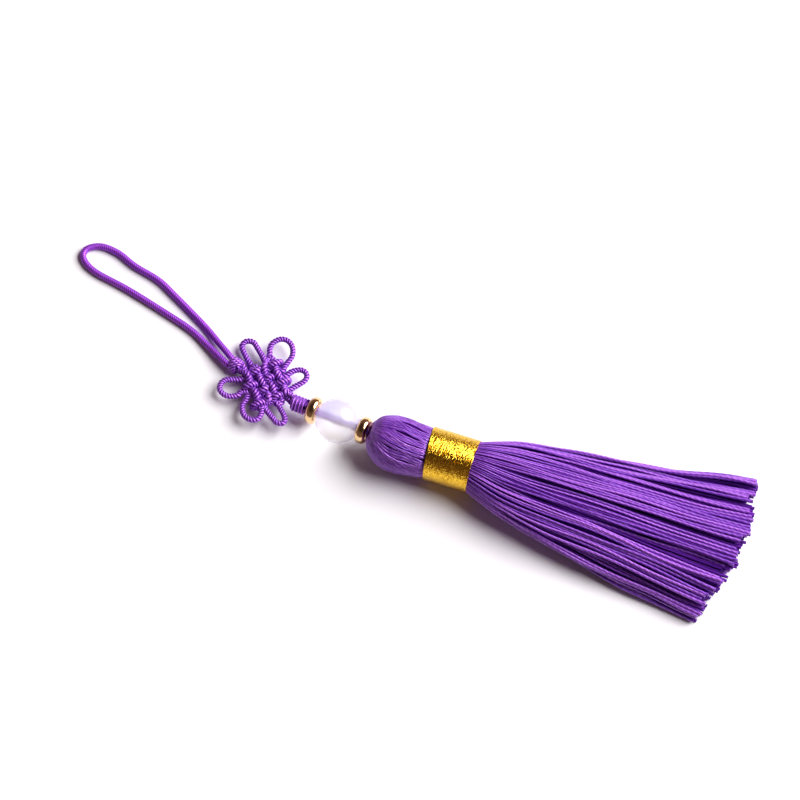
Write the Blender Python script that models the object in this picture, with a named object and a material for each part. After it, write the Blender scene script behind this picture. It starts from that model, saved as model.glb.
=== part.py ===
"""A silk tassel on a knotted hanging cord, lying at rest on a flat surface.

Frame: +X runs along the tassel from its head to its thread ends, +Z is up, and
the origin is under the middle of everything but the hanging loop. The pieces are,
from the loop to the thread ends: hanging loop, loop knot, woven eight-strand knot
with six ears, barrel knot, spacer ring, bead on its cord, spacer ring, tassel
(head, neck and threads in one) and the gold binding wound round its neck.
All sizes are in millimetres until a mesh is made.
"""

import math
import random

import bmesh
import bpy
from mathutils import Matrix, Vector

MM = 0.001
GAP = 0.3  # between pieces that touch on the real object

# Where the head's centre lies in the part's frame.
HEAD_X, HEAD_Y, HEAD_Z = -17.81, 0.23, 6.0

# Tassel: an egg-shaped head, the neck under its binding, and the throat where the
# threads are still tight. Everything is measured from the head's centre, along +X.
HEAD_RIBS = 30
RIB_DEPTH = 0.16
FACETS = 2 * HEAD_RIBS
NECK_START, NECK_END = 6.75, 17.0
NECK_RADIUS = 5.0
THROAT_END, THROAT_HALF_WIDE, THROAT_HALF_TALL = 21.6, 7.6, 5.2
HEAD_PROFILE = (  # along, radius
    (-6.75, 2.1),
    (-6.3, 3.25),
    (-4.9, 4.75),
    (-2.95, 5.75),
    (-1.2, 6.2),
    (1.2, 6.22),
    (3.0, 5.95),
    (5.2, 5.72),
    (6.35, 5.6),
    (6.75, NECK_RADIUS),
    (17.0, NECK_RADIUS),
)

# Skirt: locks of thread in columns across the lying fan. Each station is a cross
# section: half its width, its top at the middle, how far its bottom and top have
# gone from round (0) to lying flat on the surface (1).
COLUMNS = 25
LOCK_WIDTH_SHARE, LOCK_HEIGHT_SHARE = 0.70, 0.72
FLAT_HEIGHT = 0.95
MOST_ROWS = 7
SKIRT_STATIONS = (  # along, half_width, top, flatness
    (20.2, 6.75, 10.85, 0.0),
    (29.0, 9.6, 10.4, 0.25),
    (46.0, 13.0, 9.4, 0.7),
    (73.0, 17.6, 8.0, 1.0),
)
LEAN = 0.9  # columns lean by this share of their spacing, so that each lock covers the slit below it
WANDER = 0.07  # locks stray sideways by up to this much
RAGGED = 1.1
END_BULGE, END_SLANT = 3.3, 0.107  # the cut end is longest in the middle, and runs a little askew

# Gold binding: a sleeve of wound metal thread.
BINDING_WRAPS = 5
BINDING_WALL = 0.42

# The string through the bead, from the head's top to the barrel knot.
STRING_SIDE, STRING_DROP = 0.132, 0.121  # sideways and down for each mm along
STRING_Y, STRING_Z = 0.57, -0.1  # at the head's top, from the head's centre
HEAD_TOP = -6.75
RING_RADIUS, RING_HOLE, RING_THICK = 2.98, 1.1, 2.2
RING_2_AT, BEAD_AT, RING_1_AT = -8.17, -14.2, -20.23
BEAD_RADIUS, BEAD_BORE = 5.0, 1.1
CORD_THROUGH = 0.8  # radius of the doubled cord inside the bead
BARREL_LONG, BARREL_RADIUS, BARREL_WRAPS = 3.3, 1.78, 5
BARREL_AT = -23.3

# Woven knot, in its own plane: u towards the loop, w across it to the upper side.
KNOT_X, KNOT_Y, KNOT_Z = -32.3, 5.78, -3.5  # from the head's centre
KNOT_TURN = 163.5  # heading of u, in degrees
KNOT_FALL = 0.085  # it slopes down towards the loop
KNOT_CORNERS = {"loop": (5.55, 0.0), "upper": (-0.8, 4.6), "string": (-5.55, 0.0), "lower": (0.8, -4.6)}
CORD = 0.63  # radius of the knot's cord
BLOCKS, STEPS = 4, 5  # crossings each way, and grid steps in each crossing
EAR_POINTS = 14
EARS = (  # root_u, root_w, tip_u, tip_w, other_root_u, other_root_w, belly
    (4.3, 1.2, 8.85, 5.9, 1.75, 3.3, 3.2),
    (2.3, 4.4, 1.9, 10.75, -0.95, 4.5, 5.2),
    (-2.2, 3.7, -7.0, 6.1, -5.0, 1.3, 3.3),
    (-5.3, -2.5, -8.85, -5.6, -2.6, -4.1, 2.6),
    (0.5, -4.0, -1.6, -9.0, -3.0, -4.6, 4.7),
    (3.5, -1.8, 7.65, -5.75, 2.1, -3.9, 3.7),
)
LINK_HALF_APART = 0.72  # the two cords between the knot and the barrel

# Loop knot and hanging loop.
LOOP_KNOT_LONG, LOOP_KNOT_RADIUS = 2.6, 1.65
LOOP_KNOT_X, LOOP_KNOT_Y, LOOP_KNOT_Z = -39.45, 7.75, -4.15
LOOP_KNOT_TURN = 158.0
LOOP_RADIUS = 0.7
LOOP_LOW = 0.72  # height of the cord's centre where it lies
LOOP_POINTS = 48
LOOP_ROUTE = (  # along, across, from the head's centre
    (-41.36, 7.57),
    (-44.0, 8.98),
    (-47.3, 10.86),
    (-51.62, 13.08),
    (-59.72, 15.56),
    (-67.74, 17.73),
    (-75.28, 19.39),
    (-78.55, 21.57),
    (-78.61, 23.77),
    (-75.94, 25.37),
    (-71.95, 25.06),
    (-67.72, 23.34),
    (-61.87, 21.8),
    (-57.46, 19.57),
    (-48.85, 14.72),
    (-43.98, 11.3),
    (-40.7, 9.21),
)

random.seed(11)


def clear_scene():
    for item in list(bpy.data.objects):
        bpy.data.objects.remove(item, do_unlink=True)


def material(name, colour, roughness, metallic=0.0, transmission=0.0):
    made = bpy.data.materials.new(name)
    made.use_nodes = True
    shader = made.node_tree.nodes["Principled BSDF"]
    shader.inputs["Base Color"].default_value = (*colour, 1.0)
    shader.inputs["Roughness"].default_value = roughness
    shader.inputs["Metallic"].default_value = metallic
    shader.inputs["Transmission Weight"].default_value = transmission
    made.diffuse_color = (*colour, 1.0)
    return made


def place(name, mesh, look, matrix=None):
    """An object of this mesh, smooth but for its real corners."""
    item = bpy.data.objects.new(name, mesh)
    bpy.context.collection.objects.link(item)
    mesh.materials.append(look)
    mesh.shade_smooth()
    mesh.set_sharp_from_angle(angle=math.radians(40))
    if matrix is not None:
        item.matrix_world = matrix
    return item


def from_head(along, across=0.0, up=0.0):
    """A point measured from the head's centre, in metres in the part's frame."""
    return Vector((HEAD_X + along, HEAD_Y + across, HEAD_Z + up)) * MM


def skin(bm, rings, closed=False):
    """Joins rings of points into one surface, with end faces unless it closes on itself."""
    loops = [[bm.verts.new(point) for point in ring] for ring in rings]
    count = len(loops[0])
    pairs = list(zip(loops, loops[1:])) + ([(loops[-1], loops[0])] if closed else [])
    for low, high in pairs:
        for i in range(count):
            j = (i + 1) % count
            bm.faces.new((low[i], low[j], high[j], high[i]))
    if not closed:
        bm.faces.new(loops[0][::-1])
        bm.faces.new(loops[-1])


def mesh_of(name, rings_list):
    bm = bmesh.new()
    for rings in rings_list:
        skin(bm, rings)
    bmesh.ops.recalc_face_normals(bm, faces=bm.faces)
    mesh = bpy.data.meshes.new(name)
    bm.to_mesh(mesh)
    bm.free()
    return mesh


def smooth_route(points, count):
    """Points at even steps along a smooth curve through the given ones."""
    route = [Vector(p) for p in points]
    ends = [2 * route[0] - route[1], *route, 2 * route[-1] - route[-2]]
    fine = []
    for a, b, c, d in zip(ends, ends[1:], ends[2:], ends[3:]):
        for step in range(24):
            t = step / 24
            fine.append(
                0.5 * (2 * b + (c - a) * t + (2 * a - 5 * b + 4 * c - d) * t**2 + (3 * b - a - 3 * c + d) * t**3)
            )
    fine.append(route[-1])
    return even_steps(fine, count)


def even_steps(fine, count):
    run = [0.0]
    for a, b in zip(fine, fine[1:]):
        run.append(run[-1] + (b - a).length)
    out, k = [], 0
    for i in range(count):
        want = run[-1] * i / (count - 1)
        while k < len(run) - 2 and run[k + 1] < want:
            k += 1
        share = (want - run[k]) / (run[k + 1] - run[k])
        out.append(fine[k].lerp(fine[k + 1], share))
    return out


def tube_rings(route, radius, sides=8):
    """Rings of points round a route that stays near one plane."""
    rings = []
    for i, here in enumerate(route):
        ahead = (route[min(i + 1, len(route) - 1)] - route[max(i - 1, 0)]).normalized()
        flat = Vector((0, 0, 1)).cross(ahead).normalized()
        rise = ahead.cross(flat)
        rings.append(
            [
                here + radius * (math.cos(turn) * flat + math.sin(turn) * rise)
                for turn in (2 * math.pi * (k + 0.5) / sides for k in range(sides))
            ]
        )
    return rings


def turned(name, profile, steps, look, matrix, closed=False):
    """A piece turned about its local Z from a profile of (radius, height), listed top to bottom on its outer side."""
    bm = bmesh.new()
    corners = [bm.verts.new((r * MM, 0, z * MM)) for r, z in profile]
    for a, b in zip(corners, corners[1:]):
        bm.edges.new((a, b))
    if closed:
        bm.edges.new((corners[-1], corners[0]))
    mesh = bpy.data.meshes.new(name)
    bm.to_mesh(mesh)
    bm.free()
    item = bpy.data.objects.new(name, mesh)
    bpy.context.collection.objects.link(item)
    item.matrix_world = matrix
    mesh.materials.append(look)
    screw = item.modifiers.new("Turn", "SCREW")
    screw.axis = "Z"
    screw.steps = screw.render_steps = steps
    screw.use_merge_vertices = True
    screw.merge_threshold = 1e-6
    screw.use_smooth_shade = True
    return item


def joined(target, other):
    """Unites another closed piece with the target, which stays one solid."""
    union = target.modifiers.new("Join " + other.name, "BOOLEAN")
    union.operation = "UNION"
    union.solver = "EXACT"
    union.object = other
    other.hide_render = True
    other.display_type = "WIRE"


# Tassel ----------------------------------------------------------------------


def ribbed_ring(along, radius):
    """One ring of the head: ridges of bunched thread, and flat where it meets the surface."""
    ring = []
    for i in range(FACETS):
        turn = 2 * math.pi * i / FACETS
        depth = RIB_DEPTH * min(1.0, radius / 4.5) if i % 2 else 0.0
        reach = radius - depth
        up = max(reach * math.sin(turn), -HEAD_Z)
        ring.append(from_head(along, reach * math.cos(turn), up))
    return ring


def throat_ring(share):
    """Past the binding the tight threads widen from the neck to the skirt's first section."""
    along = NECK_END + share * (THROAT_END - NECK_END)
    wide = NECK_RADIUS + (share**0.8) * (THROAT_HALF_WIDE - NECK_RADIUS)
    tall = NECK_RADIUS + share * (THROAT_HALF_TALL - NECK_RADIUS)
    ring = []
    for i in range(FACETS):
        turn = 2 * math.pi * i / FACETS
        depth = RIB_DEPTH * share if i % 2 else 0.0
        ring.append(from_head(along, (wide - depth) * math.cos(turn), (tall - depth) * math.sin(turn)))
    return ring


def section_span(station, side):
    """Bottom and top of the skirt at this share of its half width, above the surface."""
    _, _, top, flat = station
    middle, half = HEAD_Z, top - HEAD_Z
    round_half = half * math.sqrt(max(0.0, 1 - side * side))
    crown = FLAT_HEIGHT + (top - FLAT_HEIGHT) * max(0.0, 1 - abs(side) ** 2.4) ** 0.62
    low = (1 - flat) * (middle - round_half)
    high = (1 - flat) * (middle + round_half) + flat * crown
    return low, high


def column_side(column):
    """Where a column of locks stands, as a share of the skirt's half width."""
    middle = (COLUMNS - 1) / 2
    return (column - middle) / (middle + 0.62)


def lock_rings(column, row, rows):
    """One lock of threads, four-sided, from its root in the throat to its cut end."""
    side = column_side(column)
    end = SKIRT_STATIONS[-1]
    low, high = section_span(end, side)
    lean = LEAN * ((low + (high - low) * (row + 0.5) / rows) / end[2] - 0.5)
    ragged, strays = random.uniform(-RAGGED, RAGGED), [0.0] + [random.uniform(-WANDER, WANDER) for _ in range(3)]
    rings = []
    for number, station in enumerate(SKIRT_STATIONS):
        along, half_width = station[0], station[1]
        pitch = 2 * half_width / (COLUMNS + 0.24)
        low, high = section_span(station, side)
        tall = min(FLAT_HEIGHT + 0.1, LOCK_HEIGHT_SHARE * (high - low) / rows)
        wide = min(FLAT_HEIGHT, LOCK_WIDTH_SHARE * pitch)
        middle = low + tall / 2 + (high - low - tall) * (row / (rows - 1) if rows > 1 else 0.0)
        across = side * half_width + lean * pitch + strays[number]
        if station is end:
            along += ragged + END_BULGE * (1 - side * side) + END_SLANT * across
        ring = [
            (across - wide / 2, middle - tall / 2),
            (across + wide / 2, middle - tall / 2),
            (across + wide / 2, middle + tall / 2),
            (across - wide / 2, middle + tall / 2),
        ]
        rings.append([from_head(along, y, z - HEAD_Z) for y, z in ring])
    return rings


def tassel(look):
    rings = [ribbed_ring(along, radius) for along, radius in HEAD_PROFILE]
    rings += [throat_ring(share) for share in (0.3, 0.65, 1.0)]
    body = place("tassel", mesh_of("tassel", [rings]), look)
    locks = []
    for column in range(COLUMNS):
        low, high = section_span(SKIRT_STATIONS[-1], column_side(column))
        rows = max(2, min(MOST_ROWS, round((high - low) / 1.32)))
        locks += [lock_rings(column, row, rows) for row in range(rows)]
    joined(body, place("locks_of_thread", mesh_of("locks_of_thread", locks), look))


def gold_binding(look):
    """The wound sleeve: an inner wall, square ends, and a shallow ridge for each few turns."""
    inner = NECK_RADIUS + GAP
    outer = inner + BINDING_WALL
    long = NECK_END - NECK_START - GAP
    profile = []
    for i in range(2 * BINDING_WRAPS + 1):
        z = long / 2 - long * i / (2 * BINDING_WRAPS)
        profile.append((outer - (0.1 if i % 2 == 0 else 0.0), z))
    profile += [(inner, -long / 2), (inner, long / 2)]
    middle = (NECK_START + GAP + NECK_END) / 2
    matrix = Matrix.Translation(from_head(middle)) @ Matrix.Rotation(math.pi / 2, 4, "Y")
    turned("gold_binding", profile, 48, look, matrix, closed=True)


# Bead and rings on the string --------------------------------------------------


def on_string(along):
    return from_head(
        along,
        STRING_Y + STRING_SIDE * (HEAD_TOP - along),
        STRING_Z - STRING_DROP * (HEAD_TOP - along),
    )


def string_matrix(along):
    """Local Z along the string, from the bead towards the head."""
    heading = (on_string(0) - on_string(-1)).normalized()
    return Matrix.Translation(on_string(along)) @ heading.to_track_quat("Z", "Y").to_matrix().to_4x4()


def spacer_ring(name, along, look):
    """A round-edged ring: the profile is a rounded loop between its hole and its rim."""
    middle, half_wide, half_thick = (RING_RADIUS + RING_HOLE) / 2, (RING_RADIUS - RING_HOLE) / 2, RING_THICK / 2
    profile = []
    for i in range(12):
        turn = math.pi / 2 - 2 * math.pi * i / 12
        bulge = 1.0 / max(abs(math.cos(turn)) ** 2.6 + abs(math.sin(turn)) ** 2.6, 1e-9) ** (1 / 2.6)
        profile.append((middle + half_wide * bulge * math.cos(turn), half_thick * bulge * math.sin(turn)))
    turned(name, profile, 28, look, string_matrix(along), closed=True)


def bead(look):
    tilt = math.asin(BEAD_BORE / BEAD_RADIUS)
    profile = []
    for i in range(15):
        turn = tilt + (math.pi - 2 * tilt) * i / 14
        profile.append((BEAD_RADIUS * math.sin(turn), BEAD_RADIUS * math.cos(turn)))
    turned("bead", profile, 32, look, string_matrix(BEAD_AT), closed=True)


def bead_cord(look):
    start, stop = on_string(BARREL_AT + BARREL_LONG / 2 + GAP), on_string(HEAD_TOP - GAP)
    rings = tube_rings([start, stop], CORD_THROUGH * MM)
    place("bead_cord", mesh_of("bead_cord", [rings]), look)


def barrel_knot(look):
    """The wrapped knot that stops the string: a row of round turns."""
    turns = []
    for i in range(2 * BARREL_WRAPS + 1):
        z = BARREL_LONG / 2 - BARREL_LONG * i / (2 * BARREL_WRAPS)
        swell = math.sqrt(max(0.0, 1 - (1.45 * z / BARREL_LONG) ** 4))
        turns.append((BARREL_RADIUS * (0.86 + 0.14 * swell) - (0.17 if i % 2 == 0 else 0.0), z))
    profile = [(0.0, BARREL_LONG / 2), *turns, (0.0, -BARREL_LONG / 2)]
    turned("barrel_knot", profile, 20, look, string_matrix(BARREL_AT))


# Woven knot --------------------------------------------------------------------


def knot_point(u, w, up=0.0):
    """A point of the knot's own plane, in metres in the part's frame."""
    turn = math.radians(KNOT_TURN)
    along = KNOT_X + u * math.cos(turn) + w * math.sin(turn)
    across = KNOT_Y + u * math.sin(turn) - w * math.cos(turn)
    return from_head(along, across, KNOT_Z - KNOT_FALL * u + up)


def weave_height(column, row):
    """Half the knot's thickness, in crossings from its loop-side corner: the strands on top take turns."""
    i, j = min(int(column), BLOCKS - 1), min(int(row), BLOCKS - 1)
    p, q = column - i - 0.5, row - j - 0.5
    along, side = (p, q) if (i + j) % 2 == 0 else (q, p)
    rise = 2 * CORD * math.cos(math.pi * along)
    pitch = 1.75
    over = rise + CORD * math.sqrt(max(0.0, 1 - (side * pitch / CORD) ** 2))
    under = CORD * (0.85 if abs(side) < 0.45 else 0.45)
    edge = min(column, row, BLOCKS - column, BLOCKS - row)
    height = max(over if abs(side * pitch) < CORD else 0.0, under)
    return height * (0.42 + 0.58 * min(1.0, edge / 0.4))


def woven_body(look):
    """Both faces of the weave on one grid, joined round the edge."""
    steps = BLOCKS * STEPS
    corner = {name: Vector((*at, 0.0)) for name, at in KNOT_CORNERS.items()}
    bm = bmesh.new()
    faces = {}
    for sign in (1, -1):
        for m in range(steps + 1):
            for n in range(steps + 1):
                s, t = m / steps, n / steps
                upper = corner["loop"].lerp(corner["upper"], s)
                lower = corner["lower"].lerp(corner["string"], s)
                at = upper.lerp(lower, t)
                height = weave_height(s * BLOCKS, t * BLOCKS)
                faces[sign, m, n] = bm.verts.new(knot_point(at.x, at.y, sign * height))
    for sign in (1, -1):
        for m in range(steps):
            for n in range(steps):
                bm.faces.new([faces[sign, a, b] for a, b in ((m, n), (m + 1, n), (m + 1, n + 1), (m, n + 1))])
    rim = [(m, 0) for m in range(steps)] + [(steps, n) for n in range(steps)]
    rim += [(m, steps) for m in range(steps, 0, -1)] + [(0, n) for n in range(steps, 0, -1)]
    for a, b in zip(rim, rim[1:] + rim[:1]):
        bm.faces.new((faces[1, *a], faces[1, *b], faces[-1, *b], faces[-1, *a]))
    bmesh.ops.recalc_face_normals(bm, faces=bm.faces)
    mesh = bpy.data.meshes.new("pan_chang_knot")
    bm.to_mesh(mesh)
    bm.free()
    return place("pan_chang_knot", mesh, look)


def ear_route(root, tip, other_root, belly):
    """A springy loop of cord: one cubic curve that leaves one root, rounds the tip and returns."""
    middle = (root + other_root) / 2
    reach = (tip - middle) / 0.75
    apart = (root - other_root) / 2
    across = apart - reach.normalized() * apart.dot(reach.normalized())
    spread = across.normalized() * (belly / 2 - 0.406 * across.length) / 0.281
    first, second = middle + reach + spread, middle + reach - spread
    start, stop = root - (first - root).normalized() * 1.1, other_root - (second - other_root).normalized() * 1.1
    fine = [start]
    for step in range(61):
        t = step / 60
        fine.append(
            (1 - t) ** 3 * root + 3 * (1 - t) ** 2 * t * first + 3 * (1 - t) * t**2 * second + t**3 * other_root
        )
    fine.append(stop)
    return [knot_point(p.x, p.y) for p in even_steps(fine, EAR_POINTS)]


def pan_chang_knot(look):
    body = woven_body(look)
    for number, (root_u, root_w, tip_u, tip_w, other_u, other_w, belly) in enumerate(EARS):
        route = ear_route(Vector((root_u, root_w, 0)), Vector((tip_u, tip_w, 0)), Vector((other_u, other_w, 0)), belly)
        name = f"ear_{number + 1}"
        joined(body, place(name, mesh_of(name, [tube_rings(route, CORD * MM)]), look))
    stop = BARREL_AT - BARREL_LONG / 2 - GAP
    for number, side in enumerate((1, -1)):
        inside = knot_point(-4.2, side * 0.9)
        aside = Vector((0, side * LINK_HALF_APART * MM, 0))
        route = [inside, knot_point(-5.3, side * 0.75), on_string(stop) + aside]
        name = f"link_{number + 1}"
        joined(body, place(name, mesh_of(name, [tube_rings(route, CORD * MM)]), look))


# Loop knot and hanging loop ------------------------------------------------------


def loop_knot(look):
    """Where both legs of the loop are tied together: two round turns with a waist between."""
    turns = []
    for i in range(9):
        z = LOOP_KNOT_LONG / 2 - LOOP_KNOT_LONG * i / 8
        lobe = abs(math.sin(math.pi * (z / LOOP_KNOT_LONG + 0.5) * 2))
        turns.append((LOOP_KNOT_RADIUS * (0.84 + 0.16 * lobe), z))
    profile = [(0.0, LOOP_KNOT_LONG / 2), *turns, (0.0, -LOOP_KNOT_LONG / 2)]
    turn = math.radians(LOOP_KNOT_TURN)
    heading = Vector((math.cos(turn), math.sin(turn), -0.12)).normalized()
    matrix = Matrix.Translation(from_head(LOOP_KNOT_X, LOOP_KNOT_Y, LOOP_KNOT_Z))
    turned("loop_knot", profile, 18, look, matrix @ heading.to_track_quat("Z", "Y").to_matrix().to_4x4())


def hanging_loop(look):
    """The free loop of cord: it comes down from its knot and lies on the surface."""
    knot_height = HEAD_Z + LOOP_KNOT_Z - 0.15
    flat_route = smooth_route([(x, y, 0.0) for x, y in LOOP_ROUTE], LOOP_POINTS)
    curve = bpy.data.curves.new("hanging_loop", "CURVE")
    curve.dimensions = "3D"
    curve.bevel_depth = LOOP_RADIUS * MM
    curve.bevel_resolution = 2
    curve.use_fill_caps = True
    spline = curve.splines.new("POLY")
    spline.points.add(LOOP_POINTS - 1)
    for point, at in zip(spline.points, flat_route):
        away = abs(at.x - LOOP_ROUTE[0][0])
        up = LOOP_LOW + (knot_height - LOOP_LOW) * math.exp(-((away / 4.5) ** 2))
        point.co = (*from_head(at.x, at.y, up - HEAD_Z), 1.0)
    item = bpy.data.objects.new("hanging_loop", curve)
    bpy.context.collection.objects.link(item)
    curve.materials.append(look)


def main():
    clear_scene()
    thread = material("violet_thread", (0.13, 0.02, 0.36), 0.38)
    cord = material("violet_cord", (0.16, 0.03, 0.42), 0.45)
    gold_thread = material("gold_thread", (0.85, 0.58, 0.05), 0.28, metallic=1.0)
    gold_plate = material("gold_plate", (0.86, 0.62, 0.33), 0.2, metallic=1.0)
    bead_glass = material("bead_glass", (0.88, 0.83, 0.93), 0.12, transmission=0.6)
    tassel(thread)
    gold_binding(gold_thread)
    spacer_ring("spacer_ring_1", RING_1_AT, gold_plate)
    spacer_ring("spacer_ring_2", RING_2_AT, gold_plate)
    bead(bead_glass)
    bead_cord(cord)
    barrel_knot(cord)
    pan_chang_knot(cord)
    loop_knot(cord)
    hanging_loop(cord)


main()
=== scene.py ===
import math
import random

import bpy
from mathutils import Matrix, Vector


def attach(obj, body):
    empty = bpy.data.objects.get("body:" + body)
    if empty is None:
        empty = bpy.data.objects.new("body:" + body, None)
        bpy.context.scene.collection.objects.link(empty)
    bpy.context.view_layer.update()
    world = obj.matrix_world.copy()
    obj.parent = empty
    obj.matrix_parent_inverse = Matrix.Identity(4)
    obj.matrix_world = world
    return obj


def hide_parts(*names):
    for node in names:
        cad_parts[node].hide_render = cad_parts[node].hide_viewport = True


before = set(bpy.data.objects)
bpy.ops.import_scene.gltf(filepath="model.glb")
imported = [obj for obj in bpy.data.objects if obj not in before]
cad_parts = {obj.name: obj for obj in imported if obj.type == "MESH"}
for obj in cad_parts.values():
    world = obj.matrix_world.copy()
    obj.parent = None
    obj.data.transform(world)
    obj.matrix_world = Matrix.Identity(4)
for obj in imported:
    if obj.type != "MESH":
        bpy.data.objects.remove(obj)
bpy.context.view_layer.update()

MM = 0.001

# Table, lamp and camera ----------------------------------------------------------
# The tassel lies on a plain white table top. One wide soft lamp stands a little behind it
# and to the right, the walls and the ceiling are dim, and the camera looks down steeply.

TABLE_WHITE, TABLE_SHADE = (0.90, 0.895, 0.90), (0.89, 0.885, 0.89)
WALL_GREY, CEILING_GREY = (0.17, 0.118, 0.112), (0.045, 0.032, 0.036)
LAMP_AT, LAMP_AIM, LAMP_COLOUR = Vector((0.703, 0.508, 0.83)), Vector((0.0, 0.01, 0.0)), (0.985, 0.975, 1.0)
LAMP_WIDE, LAMP_WATTS = 1.3, 30.0
LOOK_AT = Vector((-0.02156, 0.01232, 0.0))
LOOK_DOWN, LOOK_ROUND = math.radians(68.0), math.radians(18.4)
LENS, SENSOR, SEEN_WIDTH = 600.0, 36.0, 0.172


def put(tree, kind, inputs=None, **options):
    """Adds a node with these options; each input is a plain value or another node's output."""
    node = tree.nodes.new(kind)
    for name, value in options.items():
        setattr(node, name, value)
    for socket, value in (inputs or {}).items():
        if isinstance(value, bpy.types.NodeSocket):
            tree.links.new(value, node.inputs[socket])
        else:
            node.inputs[socket].default_value = value
    return node


def bare_finish(name):
    """A new material, its node tree and its shader."""
    made = bpy.data.materials.new(name)
    made.use_nodes = True
    return made, made.node_tree, made.node_tree.nodes["Principled BSDF"]


def on_piece(tree):
    """Where a point lies in the piece's own Object coordinates."""
    return put(tree, "ShaderNodeTexCoord").outputs["Object"]


def noise(tree, place, scale, detail=2.0):
    return put(tree, "ShaderNodeTexNoise", {"Vector": place, "Scale": scale, "Detail": detail}).outputs["Fac"]


def ranged(tree, value, low, high, to_low=0.0, to_high=1.0):
    """The value, stretched from the range low to high to another range."""
    return put(tree, "ShaderNodeMapRange", {"Value": value, "From Min": low, "From Max": high, "To Min": to_low,
               "To Max": to_high}).outputs[0]


def mixed(tree, share, first, second, **options):
    """A colour between two, each of them red, green and blue or another node's output."""
    ends = [end if isinstance(end, bpy.types.NodeSocket) else (*end, 1) for end in (first, second)]
    return put(tree, "ShaderNodeMix", {0: share, 6: ends[0], 7: ends[1]}, data_type="RGBA", **options).outputs[2]


table_white, nodes, shader = bare_finish("table_white")
shader.inputs["Roughness"].default_value = 0.6
grain = mixed(nodes, noise(nodes, on_piece(nodes), 900.0), TABLE_WHITE, TABLE_SHADE)
nodes.links.new(grain, shader.inputs["Base Color"])

bpy.ops.mesh.primitive_plane_add(size=3.0, location=(0, 0, 0))
table = bpy.context.object
table.name = "table_top"
table.data.materials.append(table_white)

lamp = bpy.data.objects.new("soft_lamp", bpy.data.lights.new("soft_lamp", "AREA"))
lamp.data.shape, lamp.data.size, lamp.data.energy = "DISK", LAMP_WIDE, LAMP_WATTS
lamp.data.color = LAMP_COLOUR
lamp.location = LAMP_AT
lamp.rotation_euler = (LAMP_AT - LAMP_AIM).to_track_quat("Z", "Y").to_euler()
bpy.context.collection.objects.link(lamp)

room = bpy.data.worlds.new("dim_room")
room.use_nodes = True
nodes = room.node_tree
rise = put(nodes, "ShaderNodeSeparateXYZ", {0: put(nodes, "ShaderNodeTexCoord").outputs["Generated"]}).outputs[2]
dimmed = mixed(nodes, ranged(nodes, rise, 0.5, 0.85), WALL_GREY, CEILING_GREY)
nodes.links.new(dimmed, nodes.nodes["Background"].inputs["Color"])
bpy.context.scene.world = room
bpy.context.scene.view_settings.view_transform = "Standard"
bpy.context.scene.view_settings.look = "Medium High Contrast"

ahead = Vector((-math.sin(LOOK_ROUND) * math.cos(LOOK_DOWN), math.cos(LOOK_ROUND) * math.cos(LOOK_DOWN),
                -math.sin(LOOK_DOWN)))
camera = bpy.data.objects.new("camera", bpy.data.cameras.new("camera"))
camera.data.lens, camera.data.sensor_width, camera.data.clip_start = LENS, SENSOR, 0.01
camera.location = LOOK_AT - ahead * (LENS / SENSOR * SEEN_WIDTH)
camera.rotation_euler = (-ahead).to_track_quat("Z", "Y").to_euler()
bpy.context.collection.objects.link(camera)
bpy.context.scene.camera = camera

# Hanging loop --------------------------------------------------------------------
# One soft silk cord of four strands, twisted hard together, doubled back on itself and tied
# off at its foot. From the knot it comes down to lie on the table.

HEAD_HIGH = 6.0  # its middle above the table
HEAD_AT = Vector((-17.81, 0.23, HEAD_HIGH)) * MM
LOOP_THICK = 1.44
LOOP_LOW, LOOP_KNOT_HIGH = 0.72, 1.70
LOOP_ROUTE = (  # along, across, from the head's centre
    (-40.6, 7.75), (-41.36, 7.6), (-44.0, 8.98), (-47.3, 10.86), (-51.62, 13.08), (-59.72, 15.56),
    (-67.74, 17.73), (-75.5, 19.39), (-78.85, 21.5), (-78.95, 23.77), (-76.14, 25.4), (-72.05, 25.06),
    (-67.72, 23.34), (-61.87, 21.8), (-57.46, 19.57), (-48.85, 14.72), (-43.98, 11.3), (-40.9, 9.15),
    (-40.2, 8.55),
)
# Cord colours: painted shade for the grooves between strands, the cord's violet, and the pale taken by painted
# crest highlights and paler lines.
CORD_GROOVE_SHADE, CORD_VIOLET, CORD_PALE = (0.03, 0.001, 0.09), (0.22, 0.024, 0.56), (0.66, 0.26, 1.0)


def from_head(along, across=0.0, up=0.0):
    """A point measured in mm from the middle of the tassel's head."""
    return HEAD_AT + Vector((along, across, up)) * MM


def smooth_route(points, count):
    """Points at even steps along a smooth curve through the given ones."""
    route = [Vector(p) for p in points]
    ends = [2 * route[0] - route[1], *route, 2 * route[-1] - route[-2]]
    fine = []
    for a, b, c, d in zip(ends, ends[1:], ends[2:], ends[3:]):
        for step in range(24):
            t = step / 24
            fine.append(0.5 * (2 * b + (c - a) * t + (2 * a - 5 * b + 4 * c - d) * t**2
                               + (3 * b - a - 3 * c + d) * t**3))
    fine.append(route[-1])
    run = [0.0]
    for a, b in zip(fine, fine[1:]):
        run.append(run[-1] + (b - a).length)
    even, k = [], 0
    for i in range(count):
        want = run[-1] * i / (count - 1)
        while k < len(run) - 2 and run[k + 1] < want:
            k += 1
        even.append(fine[k].lerp(fine[k + 1], (want - run[k]) / max(run[k + 1] - run[k], 1e-12)))
    return even


def growing_tree(name, sizes):
    """A Geometry Nodes tree with one shape in, one shape out and these named inputs."""
    tree = bpy.data.node_groups.new(name, "GeometryNodeTree")
    tree.interface.new_socket("Geometry", in_out="INPUT", socket_type="NodeSocketGeometry")
    for label, kind in sizes.items():
        tree.interface.new_socket(label, in_out="INPUT", socket_type="NodeSocket" + kind)
    tree.interface.new_socket("Geometry", in_out="OUTPUT", socket_type="NodeSocketGeometry")
    return tree, put(tree, "NodeGroupInput").outputs, put(tree, "NodeGroupOutput").inputs


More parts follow.
